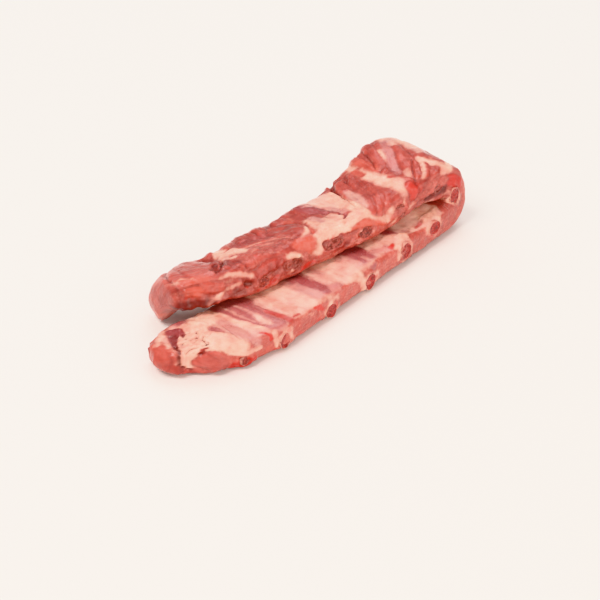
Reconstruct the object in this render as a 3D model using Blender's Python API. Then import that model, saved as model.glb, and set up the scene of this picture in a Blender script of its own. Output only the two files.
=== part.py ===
"""Strip of raw pork ribs, folded once at one end and laid back over itself.

The strip is drawn flat first: s runs along it, t runs across it from the sawn
edge, and n points out of its inner, membrane side.  A fold about a vertical
plane turns the flat strip into two arms, one on the other, and the upper arm
then settles on the lower one with its far side hanging down.  Thirteen sawn
rib bones lie across the strip and show at both long edges.
Sizes are in millimetres, turned to metres when the meshes are made.
"""
import bmesh
import bpy
import numpy as np

NAME = "raw_pork_rib_strip"
MM = 0.001

# The strip laid flat.
LENGTH = 495.0
END_ROUND = (11.0, 6.5)    # how far the rounding of each short end reaches, lower arm first
NEAR_EDGE = [(0, 38), (9, 29), (26, 14.5), (45, 5.5), (75, 0), (451, 0), (473, 4), (489, 10), (495, 14)]
FAR_EDGE = [(0, 48), (10, 58), (24, 60), (45, 54), (158, 50), (208, 52), (253, 60), (293, 63),
            (328, 57), (358, 50), (408, 47), (448, 46), (473, 50), (489, 48), (495, 44)]
OUTER_HALF = [(0, 7), (20, 9.5), (208, 9.5), (235, 8.4), (258, 8.6), (290, 12), (338, 12), (408, 13), (458, 15), (480, 15), (495, 12)]
INNER_HALF = [(0, 7), (20, 9), (60, 9.5), (208, 9), (224, 9.6), (243, 13.0), (288, 13.0), (308, 9), (358, 8),
              (440, 8), (472, 5.5), (495, 5)]
SQUARE_NEAR = 0.30         # roundness of the sawn edge, 0 square to 1 round
SQUARE_KEEL = 0.48         # the same along the lower arm's bottom corner
SQUARE_FAR = 0.52          # roundness of the far edge
SQUARE_BASE = 0.30         # the same where the lower arm is pressed on the board
BASE_TO_S = (200.0, 240.0)
STATIONS = 92
AROUND = 30

# Rolls of muscle that stand out: s, t, reach along, reach across, height, side (1 inner, -1 outer).
SWELLINGS = [
    (22, 20, 20, 16, 3.6, 1), (7, 34, 9, 14, 1.5, 1), (36, 34, 22, 18, 2.4, 1),
    (302, 42, 14, 18, 1.5, -1), (318, 8, 12, 9, 2.2, -1),
    (345, 14, 26, 12, 1.8, -1), (372, 38, 16, 14, 2.6, -1), (392, 14, 20, 16, 2.0, -1),
    (416, 36, 18, 14, 2.4, -1), (440, 14, 20, 14, 1.6, -1), (478, 30, 18, 22, 2.0, -1),
]
HOLLOWS = [(360, 27, 9, 20, 1.8, -1), (402, 26, 14, 10, 1.6, -1), (454, 34, 7, 18, 3.0, -1)]
RIDGE = 0.9                # rise of the inner side over each rib
FURROW = 0.7               # fall of the inner side between ribs

# The fold and the way the upper arm lies.
START_X = -34.0
START_Y = -26.5
SKEW = np.radians(10.7)    # angle between the two arms seen from above
BEND_RADIUS = 14.5
BEND_AT = 207.0
MID_HEIGHT = 9.5           # height of the middle layer of the lower arm
SETTLE = [(0, 0), (60, 9.0), (150, 9.0), (185, 8), (216, 4.5)]
ROLL = [(0, 0), (50, 7), (120, 12), (170, 17), (216, 22)]
CURL_FROM_S = (458.0, 488.0)
CURL_FROM_T = 18.0
CURL = 0.030               # bend of the hanging flap, radians a millimetre
LAY_GAP = 0.7              # least room left between the arms

# Rib bones: s and n of the middle, half width along the strip, half height.
RIBS = [
    (35, -2.6, 5.0, 5.2), (70, -2.6, 5.2, 5.2), (114, -3.0, 5.3, 5.6), (156, -2.6, 5.4, 5.6),
    (193, 0.6, 5.2, 6.0), (224, 2.0, 5.8, 5.6), (264, 4.5, 7.2, 4.6), (290, 0.0, 4.8, 5.2),
    (325, -1.0, 5.4, 4.6), (353, -1.0, 6.0, 4.2), (380, -0.6, 6.4, 4.0), (410, -0.2, 6.4, 4.0),
    (437, 0.4, 6.2, 4.2),
]
PROUD = 0.8                # how far each bone stands out of the sawn edges
CLEARANCE = 0.3
BONE_SIDES = 14
BONE_RINGS = 5
BONE_CHAMFER = 0.6

# Origin: middle of the bounding box, on the board.
SHIFT = (-100.157, -19.330)


def along(s, table):
    """Smooth value of a size between its stations."""
    s = np.asarray(s, float)
    out = np.full(s.shape, float(table[0][1]))
    for (a, va), (b, vb) in zip(table[:-1], table[1:]):
        u = np.clip((s - a) / (b - a), 0.0, 1.0)
        u = u * u * (3.0 - 2.0 * u)
        out = np.where(s >= a, va + (vb - va) * u, out)
    return out


def underside(x, y):
    """Height the lower arm has room for below the upper arm, over the point x, y."""
    c = np.cos(SKEW / 2)
    k = np.sin(SKEW / 2)
    q = x * c - y * k
    p = x * k + y * c
    back = np.maximum(BEND_AT * c - q, 0.0)
    q = BEND_AT * c + np.pi * BEND_RADIUS + back
    s = q * c + p * k - START_X
    tau = np.radians(along(back, ROLL))
    t = (p * c - q * k - START_Y) / np.cos(tau)
    room = MID_HEIGHT + 2 * BEND_RADIUS - along(s, INNER_HALF) - RIDGE - LAY_GAP
    return room - t * np.sin(tau) - along(back, SETTLE) + np.maximum(along(s, NEAR_EDGE) - t, 0.0)


def place(s, t, n, pressed=False):
    """Point of the folded strip for flat coordinates s, t, n."""
    s, t, n = np.broadcast_arrays(*[np.asarray(a, float) for a in (s, t, n)])
    # the hanging flap at the free end of the upper arm curls down
    grow = np.clip((s - CURL_FROM_S[0]) / (CURL_FROM_S[1] - CURL_FROM_S[0]), 0.0, 1.0)
    grow = CURL * grow * grow * (3.0 - 2.0 * grow) + 1e-9
    past = np.maximum(t - CURL_FROM_T, 0.0)
    turn = grow * past
    flat_t = np.minimum(t, CURL_FROM_T) + np.sin(turn) / grow - n * np.sin(turn)
    sink = (1.0 - np.cos(turn)) / grow
    lift = n * np.cos(turn)
    # fold about an axis halfway between the two arms
    c = np.cos(SKEW / 2)
    k = np.sin(SKEW / 2)
    x0 = START_X + s
    y0 = START_Y + np.where(past > 0, flat_t, t)
    n = np.where(past > 0, lift, n)
    q = x0 * c - y0 * k
    p = x0 * k + y0 * c
    start = BEND_AT * c
    theta = np.clip((q - start) / BEND_RADIUS, 0.0, np.pi)
    over = q - start - np.pi * BEND_RADIUS
    reach = np.where(over > 0, start - over, start + (BEND_RADIUS - n) * np.sin(theta))
    q = np.where(q <= start, q, reach)
    z = MID_HEIGHT + BEND_RADIUS - (BEND_RADIUS - n) * np.cos(theta)
    x = q * c + p * k
    y = p * c - q * k
    # the upper arm settles and rolls about its near edge
    back = np.maximum(over, 0.0)
    tau = np.radians(along(back, ROLL))
    rise = -n
    inward = np.where(back > 0, t * (1.0 - np.cos(tau)) - np.sin(tau) * rise, 0.0)
    fall = np.where(back > 0, t * np.sin(tau) + rise * (1.0 - np.cos(tau)) + along(back, SETTLE), 0.0)
    x = x - inward * np.sin(SKEW)
    y = y - inward * np.cos(SKEW)
    z = z - fall - np.where(past > 0, sink, 0.0)
    if pressed:
        z = np.where((over < -np.pi * BEND_RADIUS) & (n > 0), np.minimum(z, underside(x, y)), z)
    return np.stack([x + SHIFT[0], y + SHIFT[1], np.maximum(z, 0.0)], -1) * MM


def relief(s, t, side):
    """Swell and hollow of the surface, in millimetres, on one side of the strip."""
    out = np.zeros(np.broadcast(s, t).shape)
    for sign, forms in ((1.0, SWELLINGS), (-1.0, HOLLOWS)):
        for a, b, ra, rb, high, which in forms:
            if which == side:
                d = ((s - a) / ra) ** 2 + ((t - b) / rb) ** 2
                out += sign * high * np.exp(-d * 1.3)
    if side > 0:
        near = np.full(out.shape, 99.0)
        for a, _, _, _ in RIBS:
            near = np.minimum(near, np.abs(s - a))
        out += RIDGE * np.exp(-(near / 8.0) ** 2) - FURROW * np.clip((near - 12.0) / 6.0, 0.0, 1.0)
    return out


def section(s, shrink):
    """Closed outline of the flat strip at s, evenly spaced, as t and n."""
    near = float(along(s, NEAR_EDGE))
    far = float(along(s, FAR_EDGE))
    mid = (near + far) / 2
    half = (far - near) / 2 * (0.65 + 0.35 * shrink)
    angle = np.linspace(-0.5 * np.pi, 1.5 * np.pi, 721)[:-1]
    across = np.sin(angle)
    out = np.cos(angle)
    lying = np.clip((BASE_TO_S[1] - s) / (BASE_TO_S[1] - BASE_TO_S[0]), 0.0, 1.0)
    power = np.where(out < 0, SQUARE_FAR + (SQUARE_BASE - SQUARE_FAR) * lying, SQUARE_FAR)
    keel = np.where(out < 0, SQUARE_NEAR + (SQUARE_KEEL - SQUARE_NEAR) * lying, SQUARE_NEAR)
    power = np.where(across < 0, keel, power)
    t = mid + half * np.sign(across) * np.abs(across) ** power
    thick = np.where(out >= 0, along(s, INNER_HALF) + relief(s, t, 1), along(s, OUTER_HALF) + relief(s, t, -1))
    n = thick * shrink * np.sign(out) * np.abs(out) ** power
    step = np.hypot(np.diff(t, append=t[0]), np.diff(n, append=n[0]))
    run = np.concatenate([[0.0], np.cumsum(step)])
    want = np.linspace(0.0, run[-1], AROUND + 1)[:-1]
    return np.interp(want, run, np.append(t, t[0])), np.interp(want, run, np.append(n, n[0]))


def meat_stations():
    """Stations along the strip with the shrink of the section at each."""
    turn = np.radians([14, 30, 48, 68, 90])
    left, right = [[(reach * (1 - np.cos(a)), np.sin(a)) for a in turn] for reach in END_ROUND]
    middle = [(s, 1.0) for s in np.linspace(END_ROUND[0], LENGTH - END_ROUND[1], STATIONS)[1:-1]]
    right = [(LENGTH - s, f) for s, f in right[::-1]]
    return left + middle + right


def loft(rings, pair_ends=False):
    """Closed mesh through rings of points; the ends are closed flat."""
    mesh = bmesh.new()
    rows = [[mesh.verts.new(p) for p in ring] for ring in rings]
    count = len(rows[0])
    for a, b in zip(rows[:-1], rows[1:]):
        for i in range(count):
            j = (i + 1) % count
            mesh.faces.new((a[i], a[j], b[j], b[i]))
    for row in (rows[0], rows[-1]):
        if pair_ends:
            for i in range(count // 2):
                a, b, c, d = row[i], row[i + 1], row[(count - i - 1) % count], row[(count - i) % count]
                mesh.faces.new([v for k, v in enumerate((a, b, c, d)) if v not in (a, b, c, d)[:k]])
        else:
            mesh.faces.new(row)
    bmesh.ops.recalc_face_normals(mesh, faces=mesh.faces)
    return mesh


def new_object(name, mesh, material, collection, smooth=True):
    """Named object from a finished mesh."""
    data = bpy.data.meshes.new(name)
    mesh.to_mesh(data)
    mesh.free()
    if material:
        data.materials.append(material)
    if smooth:
        data.shade_smooth()
    thing = bpy.data.objects.new(name, data)
    collection.objects.link(thing)
    return thing


def make_material(name, colour, roughness):
    """Plain Principled material."""
    material = bpy.data.materials.new(name)
    material.use_nodes = True
    shader = material.node_tree.nodes["Principled BSDF"]
    shader.inputs["Base Color"].default_value = (*colour, 1.0)
    shader.inputs["Roughness"].default_value = roughness
    shader.inputs["Metallic"].default_value = 0.0
    material.diffuse_color = (*colour, 1.0)
    return material


def rib_rings(rib, grow, proud, rings):
    """Rings of one rib across the strip, straight even where the strip bends."""
    s0, n0, wide, high = rib
    edge = float(along(s0, NEAR_EDGE))
    near = edge - proud
    far = float(along(s0, FAR_EDGE)) + proud
    bend_s = BEND_AT - START_X
    slant = np.tan(SKEW / 2) if bend_s - 12 < s0 < bend_s + np.pi * BEND_RADIUS + 16 else 0.0
    angle = np.linspace(0.0, 2 * np.pi, BONE_SIDES + 1)[:-1]
    made = []
    stops = [(near, -BONE_CHAMFER)] + [(near + BONE_CHAMFER + (far - near - 2 * BONE_CHAMFER) * u, 0.0)
                                       for u in np.linspace(0, 1, rings)] + [(far, -BONE_CHAMFER)]
    if grow > 0:
        stops = [(near + (far - near) * u, 0.0) for u in np.linspace(0, 1, rings)]
    for t, inset in stops:
        s = s0 + (t - edge) * slant + (wide + grow + inset) * np.cos(angle)
        n = n0 + (high + grow + inset) * np.sin(angle)
        made.append(place(s, np.full(s.shape, t), n))
    return made


def clear_scene():
    for thing in list(bpy.data.objects):
        bpy.data.objects.remove(thing, do_unlink=True)


def build():
    clear_scene()
    scene = bpy.context.scene
    parts = bpy.data.collections.new(NAME)
    cutters = bpy.data.collections.new("cutters")
    scene.collection.children.link(parts)
    scene.collection.children.link(cutters)

    meat_look = make_material("raw_pork", (0.60, 0.20, 0.16), 0.38)
    bone_look = make_material("sawn_rib_bone", (0.72, 0.46, 0.38), 0.50)

    rings = []
    for s, shrink in meat_stations():
        t, n = section(s, shrink)
        rings.append(place(np.full(t.shape, s), t, n, pressed=True))
    meat = new_object("meat", loft(rings, pair_ends=True), meat_look, parts)

    for number, rib in enumerate(RIBS, 1):
        label = "rib_bone_%02d" % number
        new_object(label, loft(rib_rings(rib, 0.0, PROUD, BONE_RINGS)), bone_look, parts)
        tunnel = new_object("tunnel_%02d" % number, loft(rib_rings(rib, CLEARANCE, 6.0, BONE_RINGS + 2)),
                            None, cutters, smooth=False)
        tunnel.hide_render = True
        tunnel.display_type = "WIRE"

    cut = meat.modifiers.new("rib tunnels", "BOOLEAN")
    cut.operation = "DIFFERENCE"
    cut.solver = "EXACT"
    cut.operand_type = "COLLECTION"
    cut.collection = cutters


build()
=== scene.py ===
"""Looks of the raw pork rib strip: moist meat with its fat and membrane, and the sawn ends of the ribs."""

import bmesh
import bpy
import numpy as np
from mathutils import Matrix, Vector


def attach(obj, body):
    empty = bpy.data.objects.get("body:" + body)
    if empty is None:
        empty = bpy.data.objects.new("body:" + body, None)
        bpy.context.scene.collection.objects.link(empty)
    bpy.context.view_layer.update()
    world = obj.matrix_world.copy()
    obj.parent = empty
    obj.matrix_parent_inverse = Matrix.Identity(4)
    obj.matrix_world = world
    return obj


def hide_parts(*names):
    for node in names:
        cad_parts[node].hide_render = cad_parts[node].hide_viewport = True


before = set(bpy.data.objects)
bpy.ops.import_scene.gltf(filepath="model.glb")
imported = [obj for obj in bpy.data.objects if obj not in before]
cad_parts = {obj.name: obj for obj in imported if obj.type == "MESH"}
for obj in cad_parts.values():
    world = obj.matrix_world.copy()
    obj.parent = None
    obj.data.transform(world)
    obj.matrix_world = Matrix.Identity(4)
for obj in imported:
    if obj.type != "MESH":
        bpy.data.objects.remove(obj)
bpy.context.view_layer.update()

MM = 0.001

# ---------------------------------------------------------------- the strip's shape, as in the solids
# s runs along the strip, t across it from the sawn edge, n out of its inner side, all in millimetres
LENGTH = 495.0
END_ROUND = (11.0, 6.5)
NEAR_EDGE = [(0, 38), (9, 29), (26, 14.5), (45, 5.5), (75, 0), (451, 0), (473, 4), (489, 10), (495, 14)]
FAR_EDGE = [(0, 48), (10, 58), (24, 60), (45, 54), (158, 50), (208, 52), (253, 60), (293, 63),
            (328, 57), (358, 50), (408, 47), (448, 46), (473, 50), (489, 48), (495, 44)]
OUTER_HALF = [(0, 7), (20, 9.5), (208, 9.5), (235, 8.4), (258, 8.6), (290, 12), (338, 12), (408, 13), (458, 15),
              (480, 15), (495, 12)]
INNER_HALF = [(0, 7), (20, 9), (60, 9.5), (208, 9), (224, 9.6), (243, 13.0), (288, 13.0), (308, 9), (358, 8),
              (440, 8), (472, 5.5), (495, 5)]
SQUARE_NEAR = 0.30
SQUARE_KEEL = 0.48
SQUARE_FAR = 0.52
SQUARE_BASE = 0.30
BASE_TO_S = (200.0, 240.0)
# swellings and, below 0, hollows: middle in s and t, reach in s and t, height, and 1 inside or -1 outside
SWELLINGS = [
    (22, 20, 20, 16, 3.6, 1), (7, 34, 9, 14, 1.5, 1), (36, 34, 22, 18, 2.4, 1),
    (302, 42, 14, 18, 1.5, -1), (318, 8, 12, 9, 2.2, -1),
    (345, 14, 26, 12, 1.8, -1), (372, 38, 16, 14, 2.6, -1), (392, 14, 20, 16, 2.0, -1),
    (416, 36, 18, 14, 2.4, -1), (440, 14, 20, 14, 1.6, -1), (478, 30, 18, 22, 2.0, -1),
    (360, 27, 9, 20, -1.8, -1), (402, 26, 14, 10, -1.6, -1), (454, 34, 7, 18, -3.0, -1),
]
STEEP = 1.3
RIDGE = 0.9
FURROW = 0.7
START_X = -34.0
START_Y = -26.5
SKEW = np.radians(10.7)
BEND_RADIUS = 14.5
BEND_AT = 207.0
MID_HEIGHT = 9.5
SETTLE = [(0, 0), (60, 9.0), (150, 9.0), (185, 8), (216, 4.5)]
ROLL = [(0, 0), (50, 7), (120, 12), (170, 17), (216, 22)]
CURL_FROM_S = (458.0, 488.0)
CURL_FROM_T = 18.0
CURL = 0.030
LAY_GAP = 0.7
SHIFT = (-100.157, -19.330)
RIB_PLACES = (35, 70, 114, 156, 193, 224, 264, 290, 325, 353, 380, 410, 437)
PROUD = 0.8
FREE = 99.0

# how finely the meat is drawn
STATIONS = 600
AROUND = 152
END_STEPS = 12


def unit(value):
    """The value held between 0 and 1."""
    return np.clip(value, 0.0, 1.0)


def ease(u):
    """Smooth step from 0 to 1."""
    u = unit(u)
    return u * u * (3.0 - 2.0 * u)


def between(value, low, high, fade_in, fade_out):
    """1 between low and high, fading to 0 at both of them over the lengths given."""
    return ease((value - low) / fade_in) * ease((high - value) / fade_out)


def along(s, table):
    """Smooth value of a size between its stations."""
    s = np.asarray(s, float)
    out = np.full(s.shape, float(table[0][1]))
    for (a, va), (b, vb) in zip(table[:-1], table[1:]):
        out = np.where(s >= a, va + (vb - va) * ease((s - a) / (b - a)), out)
    return out


def underside(x, y):
    """Height the lower arm has room for below the upper arm, over the point x, y."""
    c, k = np.cos(SKEW / 2), np.sin(SKEW / 2)
    q = x * c - y * k
    p = x * k + y * c
    back = np.maximum(BEND_AT * c - q, 0.0)
    q = BEND_AT * c + np.pi * BEND_RADIUS + back
    s = q * c + p * k - START_X
    tau = np.radians(along(back, ROLL))
    t = (p * c - q * k - START_Y) / np.cos(tau)
    room = MID_HEIGHT + 2 * BEND_RADIUS - along(s, INNER_HALF) - RIDGE - LAY_GAP
    return room - t * np.sin(tau) - along(back, SETTLE) + np.maximum(along(s, NEAR_EDGE) - t, 0.0)


def place(s, t, n, pressed=False):
    """Point of the folded strip for flat coordinates s, t, n, and the room above it."""
    s, t, n = np.broadcast_arrays(*[np.asarray(a, float) for a in (s, t, n)])
    # the far side of the free end curls down
    grow = CURL * ease((s - CURL_FROM_S[0]) / (CURL_FROM_S[1] - CURL_FROM_S[0])) + 1e-9
    turn = grow * np.maximum(t - CURL_FROM_T, 0.0)
    sink = (1.0 - np.cos(turn)) / grow
    x0 = START_X + s
    y0 = START_Y + np.minimum(t, CURL_FROM_T) + np.sin(turn) / grow - n * np.sin(turn)
    n = n * np.cos(turn)
    # the strip bends back over itself
    c, k = np.cos(SKEW / 2), np.sin(SKEW / 2)
    q = x0 * c - y0 * k
    p = x0 * k + y0 * c
    start = BEND_AT * c
    theta = np.clip((q - start) / BEND_RADIUS, 0.0, np.pi)
    over = q - start - np.pi * BEND_RADIUS
    back = np.maximum(over, 0.0)
    q = np.minimum(q, start) + (BEND_RADIUS - n) * np.sin(theta) - back
    z = MID_HEIGHT + BEND_RADIUS - (BEND_RADIUS - n) * np.cos(theta)
    # the upper arm rolls and settles on the lower one
    tau = np.radians(along(back, ROLL))
    inward = t * (1.0 - np.cos(tau)) + n * np.sin(tau)
    x = q * c + p * k - inward * np.sin(SKEW)
    y = p * c - q * k - inward * np.cos(SKEW)
    z = z - t * np.sin(tau) + n * (1.0 - np.cos(tau)) - along(back, SETTLE) - sink
    under = (over < -np.pi * BEND_RADIUS) & (n > 0)
    room = np.where(under, underside(x, y) - z, FREE)
    if pressed:
        z = np.where(under, np.minimum(z, z + room), z)
    return np.stack([x + SHIFT[0], y + SHIFT[1], np.maximum(z, 0.0)], -1), room


def relief(s, t, side):
    """Swell and hollow of the solid's surface on one side of the strip."""
    out = np.zeros(np.broadcast(s, t).shape)
    for a, b, ra, rb, high, which in SWELLINGS:
        if which == side:
            out += high * np.exp(-STEEP * (((s - a) / ra) ** 2 + ((t - b) / rb) ** 2))
    if side > 0:
        near = np.min([np.abs(s - rib) for rib in RIB_PLACES], axis=0)
        out += RIDGE * np.exp(-(near / 8.0) ** 2) - FURROW * unit((near - 12.0) / 6.0)
    return out


def section(s, shrink):
    """Fine outline at s as w, t, n: w runs round it from the middle of the sawn edge, inner side positive."""
    near, far = [float(along(s, edge)) for edge in (NEAR_EDGE, FAR_EDGE)]
    mid = (near + far) / 2
    half = (far - near) / 2 * (0.65 + 0.35 * shrink)
    angle = np.linspace(-0.5 * np.pi, 1.5 * np.pi, 721)
    across = np.sin(angle)
    out = np.cos(angle)
    lying = unit((BASE_TO_S[1] - s) / (BASE_TO_S[1] - BASE_TO_S[0])) * (out < 0)
    power = np.where(across < 0, SQUARE_NEAR + (SQUARE_KEEL - SQUARE_NEAR) * lying,
                     SQUARE_FAR + (SQUARE_BASE - SQUARE_FAR) * lying)
    t = mid + half * np.sign(across) * np.abs(across) ** power
    thick = np.where(out >= 0, along(s, INNER_HALF) + relief(s, t, 1), along(s, OUTER_HALF) + relief(s, t, -1))
    n = thick * shrink * np.sign(out) * np.abs(out) ** power
    run = np.concatenate([[0.0], np.cumsum(np.hypot(np.diff(t), np.diff(n)))])
    return run, t, n


def stations():
    """Stations along the strip with the shrink of the section at each."""
    turn = np.linspace(6, 90, END_STEPS) * np.pi / 180
    left, right = [[(reach * (1 - np.cos(a)), np.sin(a)) for a in turn] for reach in END_ROUND]
    middle = [(s, 1.0) for s in np.linspace(END_ROUND[0], LENGTH - END_ROUND[1], STATIONS)[1:-1]]
    return left + middle + [(LENGTH - s, f) for s, f in right[::-1]]


# where the outline gets its finest steps, as w, on the lower and the upper arm, and the s where the two change over
FINE_LOWER = (-13.0, 50.0)
FINE_UPPER = (-72.0, 11.0)
FINE_MOVES = (225.0, 265.0)
COARSE_SHARE = 0.45


def spread(perimeter, fine):
    """Places round the outline, from w = 0 onwards, finer inside one range of w."""
    w = np.linspace(0.0, perimeter, 2001)
    signed = np.where(w > fine[1] + 1e-6, w - perimeter, w)
    inside = (signed >= fine[0]) & (signed <= fine[1])
    dense = np.where(inside, 1.0, COARSE_SHARE)
    dense = np.convolve(np.pad(dense, 60, mode="wrap"), np.ones(121) / 121, mode="valid")
    share = np.concatenate([[0.0], np.cumsum((dense[1:] + dense[:-1]) / 2)])
    return np.interp(np.linspace(0.0, share[-1], AROUND + 1)[:-1], share, w)


def flat_strip():
    """Grid of s, w, t and n over the whole strip."""
    rows = []
    for s, shrink in stations():
        run, t, n = section(s, shrink)
        blend = float(ease((s - FINE_MOVES[0]) / (FINE_MOVES[1] - FINE_MOVES[0])))
        w = spread(run[-1], FINE_LOWER) * (1 - blend) + spread(run[-1], FINE_UPPER) * blend
        signed = np.where(w > run[-1] / 2, w - run[-1], w)
        rows.append((np.full(AROUND, s), signed, np.interp(w, run, t), np.interp(w, run, n),
                     np.full(AROUND, shrink), np.full(AROUND, run[-1])))
    return [np.array(column) for column in zip(*rows)]


# ---------------------------------------------------------------- noise for uneven, natural shapes
def lattice_noise(points, seed):
    """Smooth noise from -1 to 1 at points in lattice units."""
    shuffle = np.random.RandomState(seed).permutation(256)
    values = np.random.RandomState(seed + 1).uniform(-1, 1, 256)
    cell = np.floor(points).astype(int)
    part = points - cell
    part = part * part * part * (part * (part * 6 - 15) + 10)
    total = np.zeros(points.shape[:-1])
    for corner in range(8):
        step = np.array([corner & 1, corner >> 1 & 1, corner >> 2])
        spot = (cell + step) & 255
        key = shuffle[(shuffle[(shuffle[spot[..., 0]] + spot[..., 1]) & 255] + spot[..., 2]) & 255]
        share = np.where(step, part, 1 - part).prod(-1)
        total += values[key] * share
    return total


def cloud(points, size, seed, octaves=3):
    """Layered noise whose largest forms are about size millimetres."""
    total = np.zeros(points.shape[:-1])
    high = 1.0
    whole = 0.0
    for level in range(octaves):
        total += high * lattice_noise(points / size * 2.0 ** level + 17.3 * level, seed + level)
        whole += high
        high *= 0.5
    return total / whole * 1.6


# ---------------------------------------------------------------- tissues laid on the strip
S, W, T, N, SHRINK, AROUND_MM = flat_strip()
FLAT = np.stack([S, T, N], -1)
# how far the bands' edges wander, in millimetres
WANDER = 0.75
FINE_WANDER = 0.22
S_UNEVEN = S + WANDER * cloud(FLAT, 9.0, 11, 3) + FINE_WANDER * cloud(FLAT, 2.2, 12, 2)
TIP_SET_BACK = [(0, 7), (9, 6), (26, 2.5), (45, 1), (75, 0)]
W_UNEVEN = W + WANDER * cloud(FLAT, 9.0, 21, 3) + FINE_WANDER * cloud(FLAT, 2.2, 22, 2)
W_UNEVEN += along(S, TIP_SET_BACK) * ease((W + 4.0) / 8.0)

# one channel holds dark tissue together with painted shade in creases, seams and recesses
CHANNELS = ("fat", "film", "deep", "blood", "violet", "cut", "tone", "warm", "rise")
skin = {name: np.zeros(S.shape) for name in CHANNELS}
grain = np.stack([S, W], -1)

# how high bands swell, how much of the old height stays under a new band, and the seams beside them, darkened with
# painted shade
CROWN = 0.95
LEVELLING = 0.6
SEAM_AT = 0.2
SEAM = 1.3
SEAM_DEPTH = 0.9
SEAM_SHADE = 0.3
SEAM_UNEVEN = np.clip(0.45 + 1.1 * cloud(FLAT, 11.0, 25, 2), 0.0, 1.3)
# the upper arm is darker than the lower one, from this s on
UPPER_FROM = 285.0
UPPER_TONE = -0.25
# the tissues a band of each kind sets, and how soft its edge is in millimetres
KINDS = {
    "lean": dict(fat=0.0, film=0.0, blood=0.0, violet=0.0, cut=0.0, tone=0.0, warm=0.0, deep=0.0, soft=1.5),
    "fat": dict(fat=1.0, tone=0.1, film=0.0, blood=0.0, violet=0.0, deep=0.0, soft=2.3),
    "film": dict(film=1.0, tone=0.0, fat=0.3, blood=0.0, cut=0.0, soft=2.2),
    "mark": dict(turn=False, soft=0.8),
}


def stroke(path, width, soft):
    """Where a band along a path of (s, w) lies, its mask, and for each place there the way along the band, the way
    across it in millimetres and as a share of its width, and how far beyond its edge the place is."""
    path = np.array(path, float)
    width = np.interp(np.linspace(0, 1, len(path)), np.linspace(0, 1, len(width)), width)
    pad = width.max() + 3 * soft + 3
    low = path.min(0) - pad
    high = path.max(0) + pad
    inside = (S_UNEVEN > low[0]) & (S_UNEVEN < high[0]) & (W_UNEVEN > low[1]) & (W_UNEVEN < high[1])
    p = np.stack([S_UNEVEN[inside], W_UNEVEN[inside]], -1)
    found = []
    run = 0.0
    for a, b, wa, wb in zip(path[:-1], path[1:], width[:-1], width[1:]):
        reach = b - a
        size = np.hypot(*reach)
        u = ((p - a) @ reach) / size ** 2
        held = unit(u)
        off = p - a - held[:, None] * reach
        far = np.hypot(off[:, 0], off[:, 1])
        wide = wa + (wb - wa) * held
        found.append((far - wide, far / wide, run + u * size, (off[:, 1] * reach[0] - off[:, 0] * reach[1]) / size))
        run += size
    found = np.array(found)
    beyond, share, way, sideways = found[found[:, 0].argmin(0), :, np.arange(len(p))].T
    return inside, 1.0 - ease((beyond + soft) / (2 * soft)), way, sideways, share, beyond


def lay(path, width, soft, crown=0.0, up=0.0, crease=0.0, amount=1.0, turn=True, **tissue):
    """Lay one band of tissue over what is there, with its own height, edge crease darkened with painted shade, and
    grain.
    """
    inside, mask, way, sideways, share, beyond = stroke(path, width, soft)
    mask = mask * amount
    dome = np.sqrt(unit(1.0 - share ** 2))
    for name, value in tissue.items():
        skin[name][inside] += (value - skin[name][inside]) * mask
    if crown or up:
        old = skin["rise"][inside]
        skin["rise"][inside] = old + (up + CROWN * crown * dome - LEVELLING * old) * mask
    # the crease is sunk and darkened with painted shade
    if crease:
        seam = np.exp(-((beyond - SEAM_AT) / SEAM) ** 2) * crease * SEAM_UNEVEN[inside]
        skin["rise"][inside] -= SEAM_DEPTH * seam
        skin["deep"][inside] = np.maximum(skin["deep"][inside], SEAM_SHADE * seam)
    if turn:
        local = np.stack([way + path[0][0], sideways + path[0][1]], -1)
        grain[inside] += (local - grain[inside]) * (mask > 0.5)[:, None]


def band(kind, path, width, **changes):
    """Lay lean, fat or film, or a mark over them, as its kind says but for the changes."""
    if kind == "lean" and path[0][0] > UPPER_FROM:
        changes["tone"] = changes.get("tone", 0.0) + UPPER_TONE
    lay(path, width, **{**KINDS[kind], **changes})


def paint(table):
    """Lay a table's bands, one a line: kind, points s,w; half widths; changes, or "same" for those of the line above.
    A line without a kind has the one above."""
    for line in table.strip().splitlines():
        points, widths, said = (line + ";;").split(";")[:3]
        points = points.split()
        if points[0] in KINDS:
            kind = points.pop(0)
        if said.strip() != "same":
            words = said.split()
            changes = {name: float(value) for name, value in zip(words[::2], words[1::2])}
        path = [[float(value) for value in point.split(",")] for point in points]
        band(kind, path, [float(value) for value in widths.split()], **changes)


def whole_strip():
    """Tissue of every side before the single muscles: membrane inside, muscle outside, sawn flesh at the edges."""
    side = np.abs(W) / (AROUND_MM / 2)
    sawn = 1.0 - ease((np.abs(W) - 7.0) / 3.0) + ease((np.abs(W) - AROUND_MM / 2 + 9.0) / 3.0)
    inner = between(W, 6.0, AROUND_MM / 2 - 6.0, 4.0, 4.0) * (W > 0)
    skin["tone"] += 0.45 * cloud(FLAT, 22.0, 31) + 0.2 * cloud(FLAT, 5.0, 34)
    skin["tone"] += UPPER_TONE * ease((S - UPPER_FROM) / 10.0)
    skin["warm"] += 0.3 * unit(cloud(FLAT, 26.0, 41))
    skin["violet"] += 0.35 * unit(cloud(FLAT, 18.0, 51)) * (side < 1)
    skin["cut"] += sawn
    skin["film"] += inner * 0.75
    skin["fat"] += inner * (0.62 + 0.18 * cloud(FLAT, 15.0, 61))
    grain[inner > 0.5] = np.stack([W, S], -1)[inner > 0.5]


BUNDLES = 34
BUNDLE_STEP = 13.6


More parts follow.
